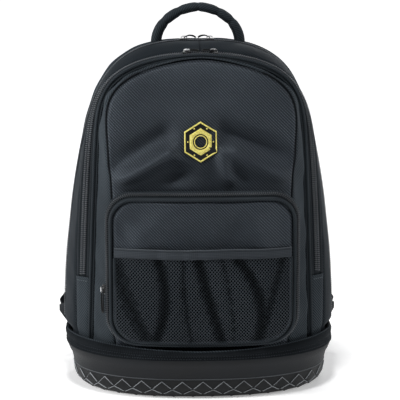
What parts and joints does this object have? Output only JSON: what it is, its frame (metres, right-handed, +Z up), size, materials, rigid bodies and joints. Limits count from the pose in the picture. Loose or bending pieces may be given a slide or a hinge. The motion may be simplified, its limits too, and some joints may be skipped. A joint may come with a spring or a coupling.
{
  "type": "tool backpack",
  "caption": "Dark grey tool backpack on a moulded rubber base, with zipped compartments, a front pocket with a gathered net, a padded carrying handle and shoulder straps.",
  "frame": {"origin": "on the ground under the middle of the bag's bounding box", "axes": "+Z up, the front pocket faces -Y, the shoulder straps face +Y, +X to the right in a view from the front"},
  "size_m": [0.3902, 0.2564, 0.5099],
  "materials": {
    "twill_cloth": "dark grey polyester twill",
    "ballistic_cloth": "dark grey coarse diagonal weave, padded",
    "black_webbing": "near-black ribbed tape and webbing",
    "netting": "black diamond net",
    "base_rubber": "satin dark grey moulded rubber",
    "black_plastic": "black moulded plastic",
    "nickel": "nickel-plated zip slider",
    "gold_print": "raised gold badge"
  },
  "bodies": {
    "bag": {"anchor_wing_left": "black_webbing", "anchor_wing_right": "black_webbing", "back_panel": "twill_cloth", "base_band": "twill_cloth", "base_tub": "base_rubber", "emblem": "gold_print", "front_gusset": "twill_cloth", "front_panel": "ballistic_cloth", "front_piping": "black_webbing", "front_zip": "black_webbing", "handle": "twill_cloth", "mesh_binding": "black_webbing", "mesh_pocket": "netting", "mid_gusset": "twill_cloth", "pocket_face": "ballistic_cloth", "pocket_gusset": "twill_cloth", "pocket_piping": "black_webbing", "pocket_zip": "black_webbing", "rear_gusset": "twill_cloth", "rear_zip": "black_webbing", "slider_front_left": "nickel", "slider_front_right": "nickel", "slider_pocket": "nickel", "slider_rear_left": "nickel", "slider_rear_right": "nickel", "strap_buckle_left": "black_plastic", "strap_buckle_right": "black_plastic", "strap_pad_left": "twill_cloth", "strap_pad_right": "twill_cloth", "strap_web_left": "black_webbing", "strap_web_right": "black_webbing", "zip_end_left": "twill_cloth", "zip_end_right": "twill_cloth"},
    "pull_rear_left": {"pull_rear_left": "black_plastic"},
    "pull_rear_right": {"pull_rear_right": "black_plastic"},
    "pull_front_left": {"pull_front_left": "black_plastic"},
    "pull_front_right": {"pull_front_right": "black_plastic"},
    "pull_pocket": {"pull_pocket": "black_plastic"}
  },
  "joints": [
    {"name": "rear_left_pull_swing", "type": "hinge", "parent": "bag", "child": "pull_rear_left", "pos_m": [-0.01959, 0.03283, 0.46343], "axis": [-0.0002, -0.9999, 0.0111], "range_deg": [0, 140]},
    {"name": "rear_right_pull_swing", "type": "hinge", "parent": "bag", "child": "pull_rear_right", "pos_m": [0.01509, 0.03283, 0.46353], "axis": [-0.0003, 0.9999, -0.0115], "range_deg": [0, 140]},
    {"name": "front_left_pull_swing", "type": "hinge", "parent": "bag", "child": "pull_front_left", "pos_m": [-0.01781, -0.02081, 0.44987], "axis": [0.0067, -0.9895, -0.1446], "range_deg": [0, 160]},
    {"name": "front_right_pull_swing", "type": "hinge", "parent": "bag", "child": "pull_front_right", "pos_m": [0.01781, -0.02108, 0.44982], "axis": [0.0091, 0.977, 0.2131], "range_deg": [0, 160]},
    {"name": "pocket_pull_swing", "type": "hinge", "parent": "bag", "child": "pull_pocket", "pos_m": [-0.13028, -0.09059, 0.1457], "axis": [-0.3688, 0.9295, -0.0022], "range_deg": [0, 160]}
  ]
}
